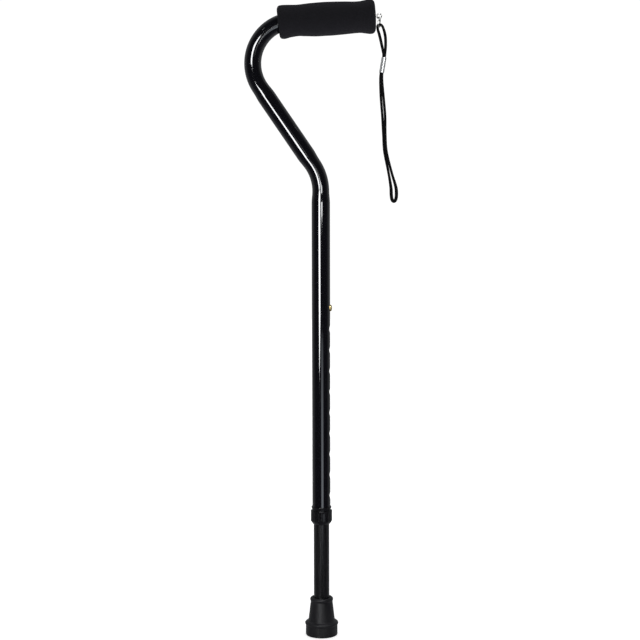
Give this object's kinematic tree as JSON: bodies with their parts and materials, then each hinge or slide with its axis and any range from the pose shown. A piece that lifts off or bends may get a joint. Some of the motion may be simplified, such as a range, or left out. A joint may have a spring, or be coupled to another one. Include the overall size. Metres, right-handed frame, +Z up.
{
  "type": "walking cane",
  "caption": "Height-adjustable walking cane with an offset foam-covered handle, snap-button shaft, locking collar, rubber tip and wrist strap.",
  "frame": {"origin": "centre of the rubber tip's tread, on the shaft's axis, where the cane stands on the ground", "axes": "+Z up the shaft, +X from the shaft towards the free end of the handle, +Y completes the right-handed frame"},
  "size_m": [0.1822, 0.0406, 0.7662],
  "materials": {
    "upper_tube": "gloss black coating over aluminium",
    "foam_grip": "matte closed-cell foam",
    "handle_end_plug": "matte black plastic",
    "strap_eye_screw": "bright nickel plate",
    "collar_bushing": "satin black plastic",
    "clamp_ring": "matte dark plastic",
    "lock_nut": "satin black plastic",
    "lower_tube": "satin black coating over aluminium",
    "rubber_tip": "matte black rubber",
    "tip_washer": "plain steel",
    "snap_button": "bright brass-coloured plate",
    "button_spring": "spring steel",
    "strap_split_ring": "bright nickel plate",
    "strap_ferrule": "bright crimped metal",
    "wrist_strap_cord": "braided black cord"
  },
  "bodies": {
    "upper_shaft": {"upper_tube": "upper_tube", "foam_grip": "foam_grip", "handle_end_plug": "handle_end_plug", "strap_eye_screw": "strap_eye_screw", "collar_bushing": "collar_bushing"},
    "lower_shaft": {"lower_tube": "lower_tube", "rubber_tip": "rubber_tip", "tip_washer": "tip_washer", "button_spring": "button_spring"},
    "button": {"snap_button": "snap_button"},
    "clamp": {"clamp_ring": "clamp_ring"},
    "nut": {"lock_nut": "lock_nut"},
    "ring": {"strap_split_ring": "strap_split_ring"},
    "strap": {"wrist_strap_cord": "wrist_strap_cord", "strap_ferrule": "strap_ferrule"}
  },
  "joints": [
    {"name": "height_adjust", "type": "slide", "parent": "upper_shaft", "child": "lower_shaft", "axis": [0, 0, -1], "range_m": [0, 0.2286], "deforming": ["snap_button"]},
    {"name": "button_press", "type": "slide", "parent": "lower_shaft", "child": "button", "axis": [-1, 0, 0], "range_m": [0, 0.004], "stiffness_N_per_m": 1200, "deforming": ["button_spring"]},
    {"name": "clamp_slide", "type": "slide", "parent": "upper_shaft", "child": "clamp", "axis": [0, 0, -1], "range_m": [0, 0.003]},
    {"name": "nut_turn", "type": "hinge", "parent": "clamp", "child": "nut", "pos_m": [0, 0, 0.1457], "axis": [0, 0, -1], "range_deg": [0, 540]},
    {"name": "ring_swing", "type": "hinge", "parent": "upper_shaft", "child": "ring", "pos_m": [0.0694, 0, 0.74382], "axis": [1, 0, 0], "range_deg": [-50, 50]},
    {"name": "strap_swing", "type": "hinge", "parent": "ring", "child": "strap", "pos_m": [0.0694, 0, 0.7338], "axis": [0, -1, 0], "range_deg": [0, 36]}
  ],
  "couplings": [
    {"joint": "clamp_slide", "follows": "nut_turn", "m_per_rad": 0.00031831}
  ]
}
